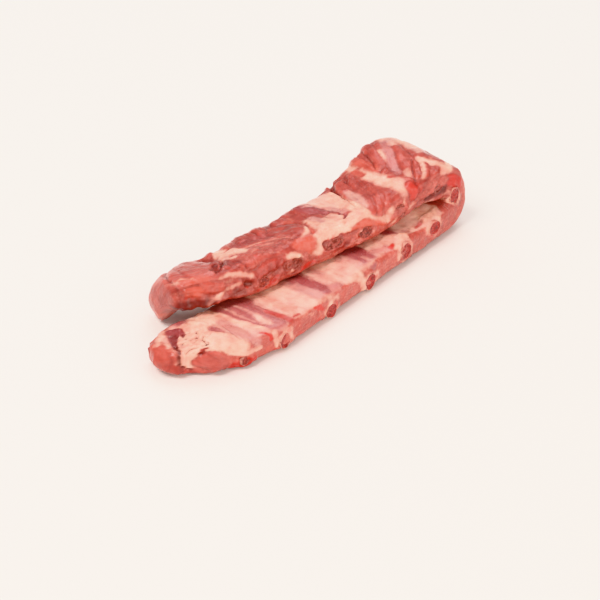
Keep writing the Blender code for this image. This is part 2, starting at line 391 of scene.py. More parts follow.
def hidden_sides():
    """Muscle bundles, seams of fat and the ribs' stripes on the sides that lie against the table or each other."""
    random = np.random.RandomState(7)
    for s in RIB_PLACES:
        band("film", [(s + 1, 12), (s - 2, 34), (s - 3, 56)], [3.5, 4.5, 4], violet=0.7, tone=-0.1, fat=0.12, up=0.2)
        band("fat", [(s + 14, 14), (s + 13, 50)], [3.5, 4.5], film=0.5, fat=0.85, amount=0.8)
    for step in range(BUNDLES):
        s = 12 + step * BUNDLE_STEP + random.uniform(-3, 3)
        low = -13 - random.uniform(0, 6)
        mid = -32 + random.uniform(-5, 5)
        lean_by = random.uniform(-12, 6)
        band("lean", [(s, low), (s + lean_by, mid), (s + 1.6 * lean_by, mid - 20)], [3.5, 6.5, 5.0], crown=1.3,
             crease=0.2, tone=random.uniform(-0.3, 0.35), warm=random.uniform(0, 0.4), violet=random.uniform(0, 0.4))
        if step % 3 == 0:
            band("fat", [(s + 7, low - 4), (s + 7 + lean_by, mid - 8)], [1.5, 3.0], up=0.4, fat=0.85, soft=3.4)
        if step % 5 == 2:
            band("fat", [(s + 5, mid - 10), (s - 4, mid - 20)], [4.6, 6.0], up=0.6, fat=0.9, soft=3.6)


whole_strip()
hidden_sides()

# Membrane side of the lower arm with the ribs shining through it.
# painted light: the membrane near s 207 to 231, shaded by the upper arm, is painted paler and lighter in tone to stand
# in for light there
# the pale streak near s 65 is pale membrane with a painted highlight
paint("""
fat 50,50 53,30 57,18 67,10; 4.2 3.6 3.2 2.2; up .7 fat .86
mark 50,28 51,23; .8; up -.3 violet .35
film 62,58 61,38 66,13; 6 6.5 5; fat .2 violet .55
68,56 73,42; 6 5; fat .05 violet .7 deep .15
56,48 58,28 62,13; 1 1 .7; up .3 soft 1.1 fat .1 violet .7
60,50 60,30 62,18; .9 .9 .63; up .3 soft 1.1 fat .5 violet .3
64,48 64,34 62,20; .8 .8 .56; up .3 soft 1.1 fat .1 violet .75
66,44 67,32 67,24; .9 .9 .63; up .3 soft 1.1 fat .5 violet .3
70,46 70,32 70.5,15; 1 1 .7; up .3 soft 1.1 fat .15 violet .75
73.5,38 74,26; 1 1 .7; up .3 soft 1.1 fat .15 violet .7
fat 66.5,27 65.5,22 65,16; .9 1.8 1.4; up .4 film .5
lean 73.5,26 75,17 78,10; 2.2 3.4 3; tone -.5 film .5 blood .5
fat 86,38 86,14; 6 7; soft 2.5 fat .7 film .5 warm .5
96,40 97,25 100,11; 5.5 6.5 5; up .4 soft 2.5 fat .95 film .6
film 106,42 107,14; 4.4 3.6; tone -2.2 fat .62 violet .3
117,46 114.5,28 117.5,13; 5.6 4.6 3.2; soft 2.4 tone -.3 fat .05 violet 1 deep .2
119.5,40 118,26; 1 .8; soft 1.2 fat .4 violet .4
112,38 108,34; 3.5 2; fat .1 violet .7 deep .15
mark 119,10.5 126,9; 1.2 .7; violet .3 blood .5
fat 135,38 135,14; 12; soft 3 fat .82 film .6
film 121,12 127,9; 3.2 3; tone -.2 fat .2 violet .15 blood .15
127,34 128,26; 4 3; soft 2.5 tone -.4 fat .5 violet .1
158,36 160,22 162,10; 9 8.5 6; tone -.35 fat .2 violet .72
164,27 165,20; 4 2.5; soft 1.8 fat 0 violet .95 deep .25
156,18 156,14; 1.6; fat 0 violet .95 deep .25
151.5,28 153,14; 2.2; tone -.8 fat .55 violet .2
160.5,17 161,12; 1.8; fat .5 violet .3
fat 178,32 180,22; 7 8; soft 2.5 tone -.6 fat .7 film .6
film 170,16 180,11 186,11; 3 4 2.4; fat .25 blood .12
fat 189,18 196,12; 3; soft 1.8 fat .9 film .5
mark 182,10.5 184.5,12.5; 1.5; soft 1 fat 0 blood .75
film 200,26 203,15; 3.6 2.8; tone -.5 fat .4 violet .35
207,24 231,25; 8; soft 2 tone .9 fat 1 violet 0
mark 211,12.5 218.5,13; 1.2 1.8; soft 1 fat 0 blood .5
fat 222,19 229,17; 3.6; tone .4 fat .95
lean 239,34 240,12; 5; tone .1 film .3
262,42 262,13; 17 16; film .2 violet .1 deep .05
283,40 284,10; 9 8; deep .1
fat 268,14 280,12; 2; fat .5
""")

# Free end of the lower arm: end lobe, lumpy fat, the salmon lobe and the membrane stripe, with painted shade on the end
# lobe's lower near side and partly painted shade in its crevices and pits.
paint("""
lean 3,-4 3.5,16 6,34; 5 6 4.5; crown 1.6 crease .1 tone .05 warm .3
mark 4,11 4,4 7,-3 15,-8; 1.6 3.6 3.6 2; soft 2.5 tone -.5 blood .4 deep .4
fat 9,8 14,18 22,30 28,40; 3.5 6 9 9; up .8 tone .2
26,20 33,15 39,9; 9 8 4.5; up 1.2
10.5,15 10.5,7 13,-2; 3.4 2.8 1.6; up .4
34,40 45,50 46,40; 7 8 6; up .5 fat .8
film 46.5,34 46.5,20 50,6; 4.6 5 2.5; up -.7 fat .38 violet .3
mark 43,31 41,22 40.5,14; .6 1 .8; up -.6 violet .6 deep .2
fat 24,11.5 31,7 40,3 51,1.5; 1.3 1.9 2.4 1.5; up .8
lean 21.5,4.5 27,-.5; 8.2 7.2; crown 3.2 crease .2 tone .05 warm .15
34,-1 48,-3 58,-3; 3 4 3; tone .35 cut .6 warm .4
mark 32,-6 38,-6 46,-5; 2.2 4.4 2.8; up 1.4 soft 1.6 cut 1 blood .85 deep .4
lean 20,40 22.5,47.5; 3.7 3.9; crown 1.2 crease .3 tone -.75 violet .9 deep .3
mark 18,40 14.3,32 11,23.5; 1.8 1.9 1; up -.9 tone -.4 fat 0 violet .8 deep .5
11.5,25 9.6,19 6.6,13 6.6,7 9,1 13,-5; .7 .7 .5 .4 .5 .4; up -1.3 fat 0 violet .3 deep .55
fat 6,31 10.5,37 15,43 19,52; .7 1 1.2 1.4; up .5 soft 1.2 fat .75 warm .4
10,31 8,24; 1 .6; up .3 soft 1 fat .7
mark 16.5,12 17.5,14.5 20,15.2; 1.2 .9 .7; up -.9 fat 0 blood .5 deep .5
12,20 13.2,21; .8; up -.9 violet .5 deep .4
19,31 20.2,32; .8; same
17,36 18.2,37; .6; same
20,33 21.2,34; .5; same
22.5,28 23.7,29; .5; same
15,25 16.2,26; .6; same
12,22 15,23 14,26 18,27; .35 .55 .35; up -.8 soft .6 violet .6 deep .45
18,23 21,25 20,29 24,30; .35 .55 .35; same
16,33 20,35 22,38 26,38; .35 .55 .35; same
23,19 22,23 25,26; .35 .55 .35; same
26,31 28,35 31,34; .35 .55 .35; same
11,14 13,16 17,17; .35 .55 .35; same
19,17 22,18 21,21; .35 .55 .35; same
""")

# Sawn near face of the lower arm between its ribs.
# the darkest small marks here are partly painted shade in recesses
paint("""
fat 62,8 63.5,-1; 2 1.4; soft .8 fat .75 cut .3
77.5,3 79,-6; 1.2 .84; soft .8 fat .3 cut .3
122,4 123.5,-5; 2.2 1.54; soft .8 fat .35 cut .3
162.5,4 164,-5; 2 1.4; soft .8 fat .4 cut .3
185.5,10 187,1; 1.8 1.26; soft .8 fat .7 cut .3
214,9 215.5,0; 1.2 .84; same
230.5,9 232,0; 1.4 .98; soft .8 fat .6 cut .3
199.5,5 201,-4; 1.4 .98; soft .8 fat .4 cut .3
lean 80,3 98,1; 6 5; tone -.1 cut 1 blood .2
fat 86,7.5 97,4; 1.4 1.6; fat .3 cut .4
mark 55,11 59,7.5 60,4; .6 1 1.4; up -.4 fat 0 blood .85
81.5,10.9 87,10.1; .5 1; up -.5 fat 0 violet .4 blood .4 deep .35
99,6.6 103.5,5 107.5,2; .8 2.2 1.3; tone .4 fat 0 blood .75
fat 107,9 114,7 121,2.5; 1.5 2 1.2; fat .6 cut .2
lean 129,3 140,0; 5.5 5; tone .3 cut 1 warm .2
fat 137,9 144.5,7 147.5,2 148.5,-4; 1.2 3.4 2.4 1; up .4 fat .85
mark 142,8 145,6; .7; violet .5 deep .2
fat 150,10.2 163,9.8 176,10; 1.3 .9 .6; fat .6
lean 168,4 181,2; 6.5 6; tone .25 fat .12 cut 1
fat 183.5,14 186,8 188,2; 1.5 1.6 1; fat .8
188.5,11 194.5,11.5 199,13; 1.6 2.2 1.4; fat .85
lean 203,5 212,3; 6; tone -.1 cut 1
fat 198,12 204,14 211,15; .6 .8 .5; fat .5
218.5,12 225,13 234,18; 1.6 3 2.2; up .3 fat .85
lean 234,4 246,3; 5 6.5; tone -.45 cut .8
mark 232.5,2 235,-3; 1.8; deep .35
182,10.5 184.5,11.5; 1.6; soft 1.2 fat .1 blood .7
""")

# Outside of the fold: the fan of long muscles, the pale crest, the red knob and the corner.
# painted shade: the dark band near s 284 to 298 stands for the shade in the fold's inner gap; the pale line near s 272
# to 285 is pale tissue with a painted highlight
paint("""
lean 272,-2 283,-2; 4.6; crown 1.2 crease .3 tone -.55 blood .6
fat 272,7 285,7; 1.8; fat .5
lean 284,4 298,3; 3.8; tone -.8 deep .65
272,-12 268,-30 268,-50; 4 5 5; crown 1 crease .3 violet .3
fat 281,-10 273,-26 270,-44 269,-56; 1.8 2.2 2 2.6; up .5
lean 281,-18 277,-29 273,-40; 1.8 3.2 2.4; tone -.1 violet .2 blood .25
film 278,-25 276,-34; .9; violet .4
fat 284,-9 286,-20 288.5,-29; 2.4 2.6 1.6; up .5
film 283,-36 282,-46; 3 3.4; fat .7 violet .15
fat 281.5,-46 282,-57 280,-68; 3 4.2 4.4; up .5 film .5
289,-50 290,-62 287,-74; 2.4 3.6 4; fat .72 film .6
lean 287,-13 291.5,-17 290,-22; 2.6; blood .25
296,-5 290,-10; 3.5 3; tone .1 cut .6
fat 299.5,-12 294,-19 288,-29; 1.3 1.5 1.3; up .4
lean 301.5,-16 297,-30 290,-48; 3.2 6.4 3.6; crown 1.6 crease .2 tone .3 warm .2
mark 305.5,-14 300,-22.5 292.5,-31; .4 .6 .4; up -.9 deep .3
film 307.5,-29 302.5,-40 297,-50 291,-61; 2.2 3 3 2.6; up -.4 fat .16 violet .4
fat 305,-21 303,-25; 2.6 2.2; fat .55 film .5
mark 303,-42 297,-52; .4; up -.4 violet .5 deep .3
lean 311,-38 304.5,-58 299,-73; 3.2 4 3.6; crown 1.4 crease .3 tone .3 violet .15
312.5,-42 315,-55 312,-72; 3 3.5 3.5; crown 1.2 crease .3 tone .35 warm .4
mark 313,-44 308.5,-58 305,-67; .4 .6 .4; up -.7 deep .25
fat 316,-13 317.5,-28 321,-42 322,-56; 6 6 5 4; soft 3 fat .5 film .6
316.5,-15.5 317,-28 320,-42 321,-54; 4.4 3.8 3 2.3; up .6 fat .88
mark 307,-31 309,-33; 1.4; fat 0 violet .6 deep .15
312,-27 314,-31; 1.5; soft 1 fat .1 blood .35
lean 285,-3 299,-3; 3.8; tone .2 cut .8
300,-3 309,-1; 3.4; tone -.2 cut .8 blood .15
304,-5 306,-10; 2.4; blood .3
310,-5.5 311.5,-12; 4.4 4.2; crown 1.8 crease .2 soft 1.6 tone .5 blood .5
fat 311,1.5 317,1; 2.2; fat .45 cut .3
lean 319,2 326,-3; 2.6 3.4; up -.6 tone -.6 cut 1 deep .25
fat 327,3 328,4; 1.6; up .3 fat .7
329,-6 330,-5; 2.2; same
334,-2.5 335,-1.5; 2; same
318,-6 319,-5; 1.2; same
337,-3.5 338,-2.5; 2; same
lean 330,-12 327.5,-25 327,-41; 2.8 3.6 2.8; crown 1.3 crease .22 tone .1 warm .2
333.5,-28 330,-42 326,-56; 2.6 3.4 3; crown 1.2 crease .2 tone -.1
mark 331,-52 327,-58; 1.6; up -.6 deep .35
lean 321.5,-48 321,-57; 2.2; soft 2 tone .3 warm .35
fat 320,-60 318,-72; 2.4 3.2; fat .7
""")

# Top of the upper arm from the fan to the smooth red muscle.
# the small pale mark near s 368 to 374 is a painted highlight; the darkest marks are painted shade in the creases
paint("""
lean 339,-8 332.5,-20 328,-33; 3 3.8 2.8; crown 1.3 crease .25 tone .2 warm .2
343,-11 337,-24 332.5,-40 329,-50; 2.4 3.2 3 2.6; crown 1.2 crease .25 tone .1
film 344,-19 341,-32 339,-41; 3.2 4.4 3; up -.5 tone .2 fat .5 violet .22
mark 344.5,-22 341,-35; .5; up -.5 violet .5 deep .25
341.5,-28 339,-38; .5; up -.4 violet .4 deep .3
fat 350.5,-20 351.5,-35 349,-49; 4.2 4.8 4.4; up .5
355,-52 364,-55 366,-62; 6.5 7 6; up .2 tone .4 fat .9 film 1 violet .18
mark 350,-21 347,-32 344.3,-42; .3 .4 .5; up -1.4 fat .7 deep .3
344,-44 343,-51 338,-60 332,-71; .6 1.3 1.8 2; up -2 fat .2 blood .3 deep .5
fat 350,-13 362,-13 377,-14 389,-10; 4.6 5.4 7 4.4; up 1.2
373,-19 383,-27; 5 4.5; up .6 fat .9
mark 358.5,-19.5 361,-18 364.5,-16; .9 1 .5; up -.6 fat .2 violet .9 deep .3
360.5,-23 362,-22; .9; up -.5 fat .1 violet .9 deep .25
372.5,-13 373.5,-13; .5; up -.3 violet .5
381.5,-13 382.5,-13; .5; same
366,-12 367,-12; .5; same
lean 337,-.5 346,-5 355,-6.8 366,-6.5; 1.8 2.8 2.6 1.6; crown .8 tone .7 warm .7
fat 332,1 341,-6.2 349,-10; .9 1.4 1.6; up .5 fat .8
lean 344,2 364,1; 2.6 3; tone .4 cut 1 deep .15
fat 351.5,.5 352.5,2; 1.2; up .4 fat .75
mark 348,-1 348.8,-1; .8; up .3 fat .5
356,-2 356.8,-2; .8; same
359,1.5 359.8,1.5; .8; same
345.5,1.5 346.3,1.5; .8; same
lean 368,2 377,2; 1.8; tone -.4 blood .3 deep .35
fat 366,-7 378,-8.6 387,-8 391.5,-2; 1.2 1.6 2.2 2.4; up .6
lean 372,-3.2 385,-3.4; 2.4 3; up -1 crease .3 tone -.6 cut 1 violet .35 deep .15
fat 357,-36 360,-46; 5; fat .88 film .6
366,-21 368,-26; 3.4 3; fat .8 film .4
lean 377,-50 371,-40 366,-33; 4.6 5.6 3.4; crown 1.4 crease .1 soft 2 tone -.1 violet .75
film 364,-40 370,-47; 1.2 1.6; soft 1.6 fat .5 violet .3
357.5,-24 360.5,-36; 2.6 3; soft 1.4 fat .45 violet .3
377.5,-22 379,-32; 2.4 2.6; soft 1.6 tone -.3 fat .4 violet .2
mark 368,-43.5 374,-46; .8; up .3 fat .5 film 1
lean 382.5,-38 383,-50; 4.2 5; tone .05 violet .1
fat 385,-18 387,-28; 3.4 2.4; fat .72
lean 390,-16 389,-29 391,-42; 2.2 2.4 3; soft 2.4 tone .2 warm .5
fat 380,-60 378,-66; 3.5 5; fat .5 film .5
396,-4 394,-12; 3.4 2.6; fat .5 warm .4
lean 398,-9 405,-13; 5.2 5.5; soft 3 tone 1.1 warm .6
398,-27 400.5,-35; 9.6 10; crown 2.6 crease .2 tone -.05 cut .25 blood .12
fat 390.5,-23.5 393.5,-18.5 399,-16; .8 1.3 .9; up .8
mark 395,3 402,3.5 408,6; 1 1.7 1.1; fat 0 blood .65 deep .15
""")

# Free end of the upper arm: the grainy muscle, the fat patch, the crevices darkened with painted shade, painted shade
# under the near edge and on the flap's underside, and the hanging flap.
paint("""
lean 496,16 484,26 480,44; 16 15 13; turn 0 tone .6 film .3 warm .3
472,16 468,34; 6; deep .3
mark 495,24 488,31 484,36; 2.2 2.6 2.2; soft 1.4 tone .8 blood .1 warm .9
476,56 475.5,48 478,42; 1.2 1.2 .8; up -.8 soft 1.2 blood .3 deep .35
lean 413,-24 427,-27 441,-20; 10 14 10; crown 1.2 soft 2.4 cut .8
411,-36 424,-37 433,-41; 5 6 4; soft 2.6 tone -.3 cut .5 violet .4
mark 407,-25 413,-20 421,-17; 1.6 2 1.2; soft 2.2 tone -.9 violet .4
fat 404,-20 412,-28 424,-32 436,-33; .5 .7 .7 .5; up .3 soft .9 fat .55
mark 412,-18 425,-28 433,-35; .4 .8 .4; up .3 fat .42
418,-10 427,-15 432,-25; .4 .8 .4; same
423,-20 427,-25; .4 .8 .4; same
438,-24 443,-30; .4 .8 .4; same
411,-22 409,-28; .4 .8 .4; same
fat 438,-30 441.5,-38 445,-48; 4 5.5 4; up .7 fat .9
447,-27 448,-36; 2.6 3; up .5 fat .85
mark 444,-29.5 446.5,-30.5; 1.1; up -.6 tone -.4 fat .1
439,-43 443,-42.5; 1.1; up -.9 fat 0 deep .35
lean 419,-5.5 432,-6.5 448,-5; 3.8 4.6 3; crown .8 tone -.5 cut .5 blood .25
452,-3 466,-6; 3.5 4.5; tone .1 cut .4
fat 445,-6 452,-8.8 462,-11 473,-12; .9 1.5 .9 .6; up .6
455,-4 465,-3 470,-.8; .6 .9 .6; up .5 fat .8
mark 447,-1.5 450,-2.5; 1.8; up -1 tone -.6 deep .5
425,2 434,4 443,5.5; 1 1.7 .9; up -.4 fat 0 blood .5
fat 407,-3.5 411.5,-6.4 417,-7; 1.5 2 1.4; up .5
lean 408,-.5 418,-1.5; 3; up -.8 crease .3 tone -.7 cut 1 deep .1
fat 414.5,3 416,4; 1; up .4 fat .8
mark 453,2.5 458,.5 462,3; 2.6 3 2; soft 1.8 tone -.8 fat 0 deep .5
fat 469.5,0 477.5,1; 1.1 1.3; up .6
lean 452,-18 460,-30 455,-45 449,-58; 4 6 5 5; tone -.45 warm .1
474,-15 470,-34 462,-58; 7.5 9 7; crown 1 turn 0 tone .35 film .35 warm .2
488,-14 485,-36 476,-58; 4.5 6 6.5; crown 1 turn 0 tone .4 film .35 warm .2
mark 490,-22 484,-35 475.6,-47 470,-58; .5 .7 .8 .6; up -1.2 soft 1.1 deep .32
490,-22 492.5,-8 493,4 491.5,16; .5 .6 .6 .5; up -.9 soft 1.1 deep .28
451.5,-33 455.5,-27 459,-20; .9 1.7 1.2; up -2 blood .2 deep .6
459.5,-26 465,-20; 1.5 2.3; up -1.6 blood .2 deep .5
461,-19 466,-16; 1.2 .8; up -1.2 deep .45
475,-14 486,-15; 2.8 3.2; soft 2.4 tone .2 warm .6
fat 481,-16 486,-18; 1.2 1.6; soft 1.6 fat .5 warm .5
lean 467,-6 477,-7.5; 3.4 4; crown 1 crease .12 soft 1.6 tone .35 warm .3
482,-6.5 488,-7; 3.8 3.4; crown 1.2 crease .2 soft 1.6 tone .1 warm .5
mark 489,-15 490,-18; 1.6; soft 1.4 fat .5
lean 474,2 483,2 490,3; 2 3.4 5; soft 1.8 tone -.7 blood .3 deep .6
mark 470,-.5 478,2.5; .9 1.2; up .4 fat .9
lean 449,-53 452,-58; 4.6 5.2; crown 1.2 up 2 tone -.1 blood .25
""")


# ---------------------------------------------------------------- the ribs' own sizes, for sockets and ends
# place along the strip, height in it, half width and half height, and how much darker and browner the marrow and its
# rim are drawn
RIB_LOOKS = [
    (40, -2.8, 3.8, 3.0, 0.65), (70.5, -1.8, 5.4, 5.6, 0.1), (115, -3.2, 5.4, 5.2, 0.1), (155.2, -2.6, 5.4, 5.8, 0.0),
    (193, 1.8, 5.2, 6.2, 0.15), (224, 4.4, 5.6, 4.8, 0.15), (264, 5.4, 7.2, 4.2, 0.2), (290, 1.0, 3.5, 3.5, 1.0),
    (323, -1.0, 4.8, 4.4, 0.95), (353, 0.0, 5.0, 3.6, 0.75), (379, -2.2, 7.2, 3.2, 0.9), (412, -0.6, 6.4, 3.4, 0.95),
    (438, 1.2, 4.6, 3.6, 0.7),
]
BEND_MARGINS = (12.0, 16.0)
# depth and height in millimetres; the rest are shares of the rib's own half size, but for the reach
SOCKET = 0.1
SOCKET_REACH = 9.0
SOCKET_EDGE = 0.86
SOCKET_SOFT = 0.2
COLLAR = 0.75
COLLAR_AT = 1.15
COLLAR_WIDE = 0.36


def rib_ends():
    """Each rib's two ends in millimetres, its upward direction, and its flat coordinates there."""
    rows = []
    bend_s = BEND_AT - START_X
    for (s, n, wide, high, brown) in RIB_LOOKS:
        near, far = [float(along(s, edge)) for edge in (NEAR_EDGE, FAR_EDGE)]
        in_bend = bend_s - BEND_MARGINS[0] < s < bend_s + np.pi * BEND_RADIUS + BEND_MARGINS[1]
        slant = np.tan(SKEW / 2) if in_bend else 0.0
        ends = [place(s + (t - near) * slant, t, n)[0] for t in (near - PROUD, far + PROUD)]
        up = place(s, (near + far) / 2, n + 1.0)[0] - place(s, (near + far) / 2, n)[0]
        rows.append((ends, up / np.linalg.norm(up), (s, n, near, far, slant, wide, high, brown)))
    return rows


RIB_ENDS = rib_ends()


def rib_seats():
    """Sockets the rib ends sit in, with a pale collar, on both sawn edges."""
    wobble = 1.0 + 0.2 * cloud(FLAT, 5.0, 71, 2)
    patches = 0.7 * cloud(FLAT, 7.0, 72, 2)
    for _, _, (s, n, near, far, slant, wide, high, brown) in RIB_ENDS:
        for edge in (near, far):
            middle = s + (edge - near) * slant
            close = np.abs(T - edge) < SOCKET_REACH
            away = np.sqrt(((S - middle) / wide) ** 2 + ((N - n) / high) ** 2) * wobble
            hole = (1.0 - ease((away - SOCKET_EDGE) / SOCKET_SOFT)) * close
            ring = np.exp(-((away - COLLAR_AT) / COLLAR_WIDE) ** 2) * close
            skin["rise"] += ring * COLLAR
            skin["rise"] += (-SOCKET - skin["rise"]) * hole
            upper_side = 0.25 * np.clip((N - n) / high, -1, 1)
            wanted = (1 - brown) * unit(0.7 + upper_side + patches)
            skin["fat"] += np.maximum(wanted - skin["fat"], 0) * ring
            skin["deep"] += (0.05 - skin["deep"]) * hole


rib_seats()


# ---------------------------------------------------------------- blending, mottling, and painted shade and highlight from the relief
# painted shade on the sawn near face of the upper arm's free end: where it starts in s, how far it fades in, how wide
# it is across
SHADED_END_FROM = 390.0
SHADED_END_OVER = 20.0
SHADED_END_WIDE = 7.0


def soften(grid, passes):
    """Average a grid with its neighbours, closed round the strip."""
    for _ in range(passes):
        beside = np.roll(grid, 1, axis=1) + np.roll(grid, -1, axis=1)
        before = np.concatenate([grid[:1], grid[:-1]]) + np.concatenate([grid[1:], grid[-1:]])
        grid = (2 * grid + beside + before) / 6
    return grid


def fibres(length, width):
    """Places for noise drawn out along the grain, in forms of this length and width in millimetres."""
    return np.stack([grain[..., 0] / length, grain[..., 1] / width, np.zeros(S.shape)], -1)


def blend_tissue():
    """Uneven fat, marbling along the fibres, pale flecks, drops of blood and painted shade darkening the sawn edge of
    the upper end.
    """
    for name in ("fat", "film", "violet", "warm", "cut"):
        skin[name] = soften(skin[name], 1)
    blotch = cloud(FLAT, 7.0, 91, 3)
    fine = cloud(FLAT, 2.6, 92, 2)
    skin["fat"] = unit(skin["fat"] * (0.95 + 0.16 * blotch + 0.12 * fine))
    # marbling in patches of 16 mm, in threads 14 mm long and 1.9 mm wide
    marbled = unit(cloud(FLAT, 16.0, 94) + 0.5)
    marbling = unit(lattice_noise(fibres(14.0, 1.9), 93) * 2.2 - 0.62) * marbled
    skin["fat"] += unit(marbling * 0.32 - skin["fat"]) * (1 - skin["deep"])
    skin["tone"] += 0.3 * blotch + 0.22 * fine
    # flecks of fat 1.7 mm across, fewer on the upper arm
    flecks = unit(cloud(FLAT, 1.7, 95, 1) - 0.8) * 1.5
    flecks = flecks * unit(0.5 + cloud(FLAT, 12.0, 97)) * np.where(S > UPPER_FROM, 0.6, 1.0)
    skin["fat"] += unit(flecks * 0.6 - skin["fat"]) * (0.3 + 0.5 * skin["cut"])
    # painted shade: the sawn near face darkens towards the upper arm's free end
    skin["tone"] -= 0.6 * ease((S - SHADED_END_FROM) / SHADED_END_OVER) * np.exp(-(W / SHADED_END_WIDE) ** 2)
    drops = unit(cloud(FLAT, 4.5, 96, 2) - 0.72) * 2.0
    skin["blood"] = np.maximum(skin["blood"], np.clip(drops, 0, 0.5) * unit(skin["cut"] + 0.2))


def paint_relief_shade(rise):
    """Painted shade darkens creases and a painted highlight lifts the tone of ridges, by the surface's own relief."""
    wide = rise - soften(rise, 14)
    close = rise - soften(rise, 3)
    # painted shade in the creases, then a painted highlight on the ridges
    skin["deep"] = unit(skin["deep"] + unit(-wide - 0.3) * 0.22 + unit(-close - 0.1) * 0.4)
    skin["tone"] += np.clip(wide * 0.35 + close * 0.5, -0.4, 0.4)


# ---------------------------------------------------------------- the meat's mesh
UNDERCUT = 2.6
LEVELLED = 0.75
# room left below the upper arm and the height over which bumps fade as it runs out
ROOM_LEFT = 0.3
ROOM_FADE = 2.5
# bumps are flatter where the upper arm lies on the lower one, and fade at the tips
LIES_OVER = (S > 275.0) & (W > 12.0)
LYING_SHARE = 0.3
TIP_FADE = 1.6


def outward(grid):
    """Unit normals of a closed grid of rings, pointing out of the strip."""
    normal = np.cross(np.roll(grid, -1, axis=1) - np.roll(grid, 1, axis=1), np.gradient(grid, axis=0))
    normal /= np.linalg.norm(normal, axis=-1, keepdims=True) + 1e-9
    for _ in range(3):
        normal = soften(normal, 1)
        normal /= np.linalg.norm(normal, axis=-1, keepdims=True) + 1e-9
    return normal * np.sign(((grid - grid.mean(axis=1, keepdims=True)) * normal).sum())


def meat_heights():
    """Height of the finished surface over the plain form, from tissue, fibres and lumps."""
    rise = skin["rise"].copy()
    fat, film, cut = [unit(skin[name]) for name in ("fat", "film", "cut")]
    muscle = unit(1.0 - fat - 0.5 * film)
    rise += 0.24 * muscle * (1 - cut) * lattice_noise(fibres(9.0, 1.5), 81)
    rise += 0.12 * muscle * lattice_noise(fibres(9.0, 1.5) * [1.5, 2.1, 1], 82)
    ragged = np.exp(-((np.abs(W) - 3.0) / 6.0) ** 2) * ease((S - 285.0) / 15.0)
    # where the lumps are, how high and how wide in millimetres, with their seed and octaves
    for share, high, size, seed, octaves in (
            (unit(fat - 0.5 * film), 0.6, 5.5, 83, 3), (cut ** 2, 0.3, 3.4, 84, 2), (1.0, 0.45, 11.0, 85, 2),
            (1 - 0.8 * film, 0.16, 2.6, 86, 2), (ragged, 1.1, 6.5, 87, 2)):
        rise += share * high * cloud(FLAT, size, seed, octaves)
    # the upper arm is undercut beside the fold, and the fat of the free end breaks into curds
    rise -= UNDERCUT * between(S, 280.0, 345.0, 16.0, 24.0) * between(W, 0.5, 24.0, 4.0, 9.0)
    curds = 1.0 - np.minimum(np.abs(lattice_noise(FLAT / 3.4, 88)) * 3.2, 1.0)
    curds *= between(S, 7.0, 34.0, 4.0, 9.0) * between(W, 11.0, 47.0, 4.0, 6.0)
    curds *= unit(fat * 1.6 - 0.6)
    rise -= curds
    rise -= LEVELLED * soften(rise, 60)
    # painted shade in the grooves between the curds
    skin["tone"] -= 1.3 * curds
    return rise


def mesh_piece(name, points, faces=()):
    """New mesh object in the scene, from points in metres."""
    mesh = bpy.data.meshes.new(name)
    mesh.from_pydata(points, [], faces)
    return piece_of(mesh, name)


def piece_of(mesh, name):
    """A mesh as an object in the scene."""
    piece = bpy.data.objects.new(name, mesh)
    bpy.context.scene.collection.objects.link(piece)
    return piece


def keep(mesh, name, values):
    """Keep a number or a vector for every point of a mesh."""
    values = np.asarray(values, np.float32).ravel()
    kind, field = ("FLOAT_VECTOR", "vector") if len(values) > len(mesh.vertices) else ("FLOAT", "value")
    mesh.attributes.new(name, kind, "POINT").data.foreach_set(field, values)


def close_up(mesh):
    """Join points in the same place and turn all faces outwards."""
    form = bmesh.new()
    form.from_mesh(mesh)
    bmesh.ops.remove_doubles(form, verts=form.verts, dist=1e-7)
    bmesh.ops.recalc_face_normals(form, faces=form.faces)
    form.to_mesh(mesh)
    form.free()


def build_meat():
    """The folded strip of meat as one closed mesh that carries its tissues."""
    base, room = place(S, T, N, pressed=True)
    blend_tissue()
    rise = meat_heights()
    paint_relief_shade(rise)
    rise *= np.where(rise > 0, unit((room - ROOM_LEFT) / ROOM_FADE), 1.0)
    rise = np.where(LIES_OVER & (rise > 0), rise * LYING_SHARE, rise)
    rise *= unit(SHRINK * TIP_FADE)
    top = base + outward(base) * rise[..., None]
    top[..., 2] = np.maximum(top[..., 2], 0.0)
    here = np.arange(S.size).reshape(S.shape)
    side = np.roll(here, -1, axis=1)
    faces = np.stack([here[:-1], side[:-1], side[1:], here[1:]], -1).reshape(-1, 4).tolist()
    for ring, way in ((here[0], 1), (here[-1], -1)):
        for col in range(AROUND // 2 - 1):
            faces.append(ring[[col, col + 1, AROUND - 2 - col, AROUND - 1 - col]][::way].tolist())
    piece = mesh_piece("pork_meat", (top.reshape(-1, 3) * MM).tolist(), faces)
    for name in CHANNELS[:-1]:
        keep(piece.data, name, skin[name])
    keep(piece.data, "grain", np.concatenate([grain, np.zeros(S.shape + (1,))], -1))
    close_up(piece.data)
    piece.data.polygons.foreach_set("use_smooth", [True] * len(piece.data.polygons))
    return piece


# ---------------------------------------------------------------- materials
def linear(code):
    """sRGB hex to the linear colour Blender works in."""
    parts = [int(code[i:i + 2], 16) / 255 for i in (1, 3, 5)]
    return [c / 12.92 if c <= 0.04045 else ((c + 0.055) / 1.055) ** 2.4 for c in parts] + [1.0]


def add(tree, kind, links=(), **settings):
    """Add one node with its settings, link or set its inputs, and give its outputs."""
    node = tree.nodes.new(kind)
    for name, value in settings.items():
        if name == "stops":
            band_colours = node.color_ramp.elements
            words = value.split()
            while len(band_colours) < len(words) // 2:
                band_colours.new(0.5)
            for element, at, code in zip(band_colours, words[::2], words[1::2]):
                element.position = float(at)
                element.color = linear(code)
        else:
            setattr(node, name, value)
    for name, value in dict(links).items():
        if isinstance(value, bpy.types.NodeSocket):
            tree.links.new(value, node.inputs[name])
        else:
            node.inputs[name].default_value = value
    return node.outputs


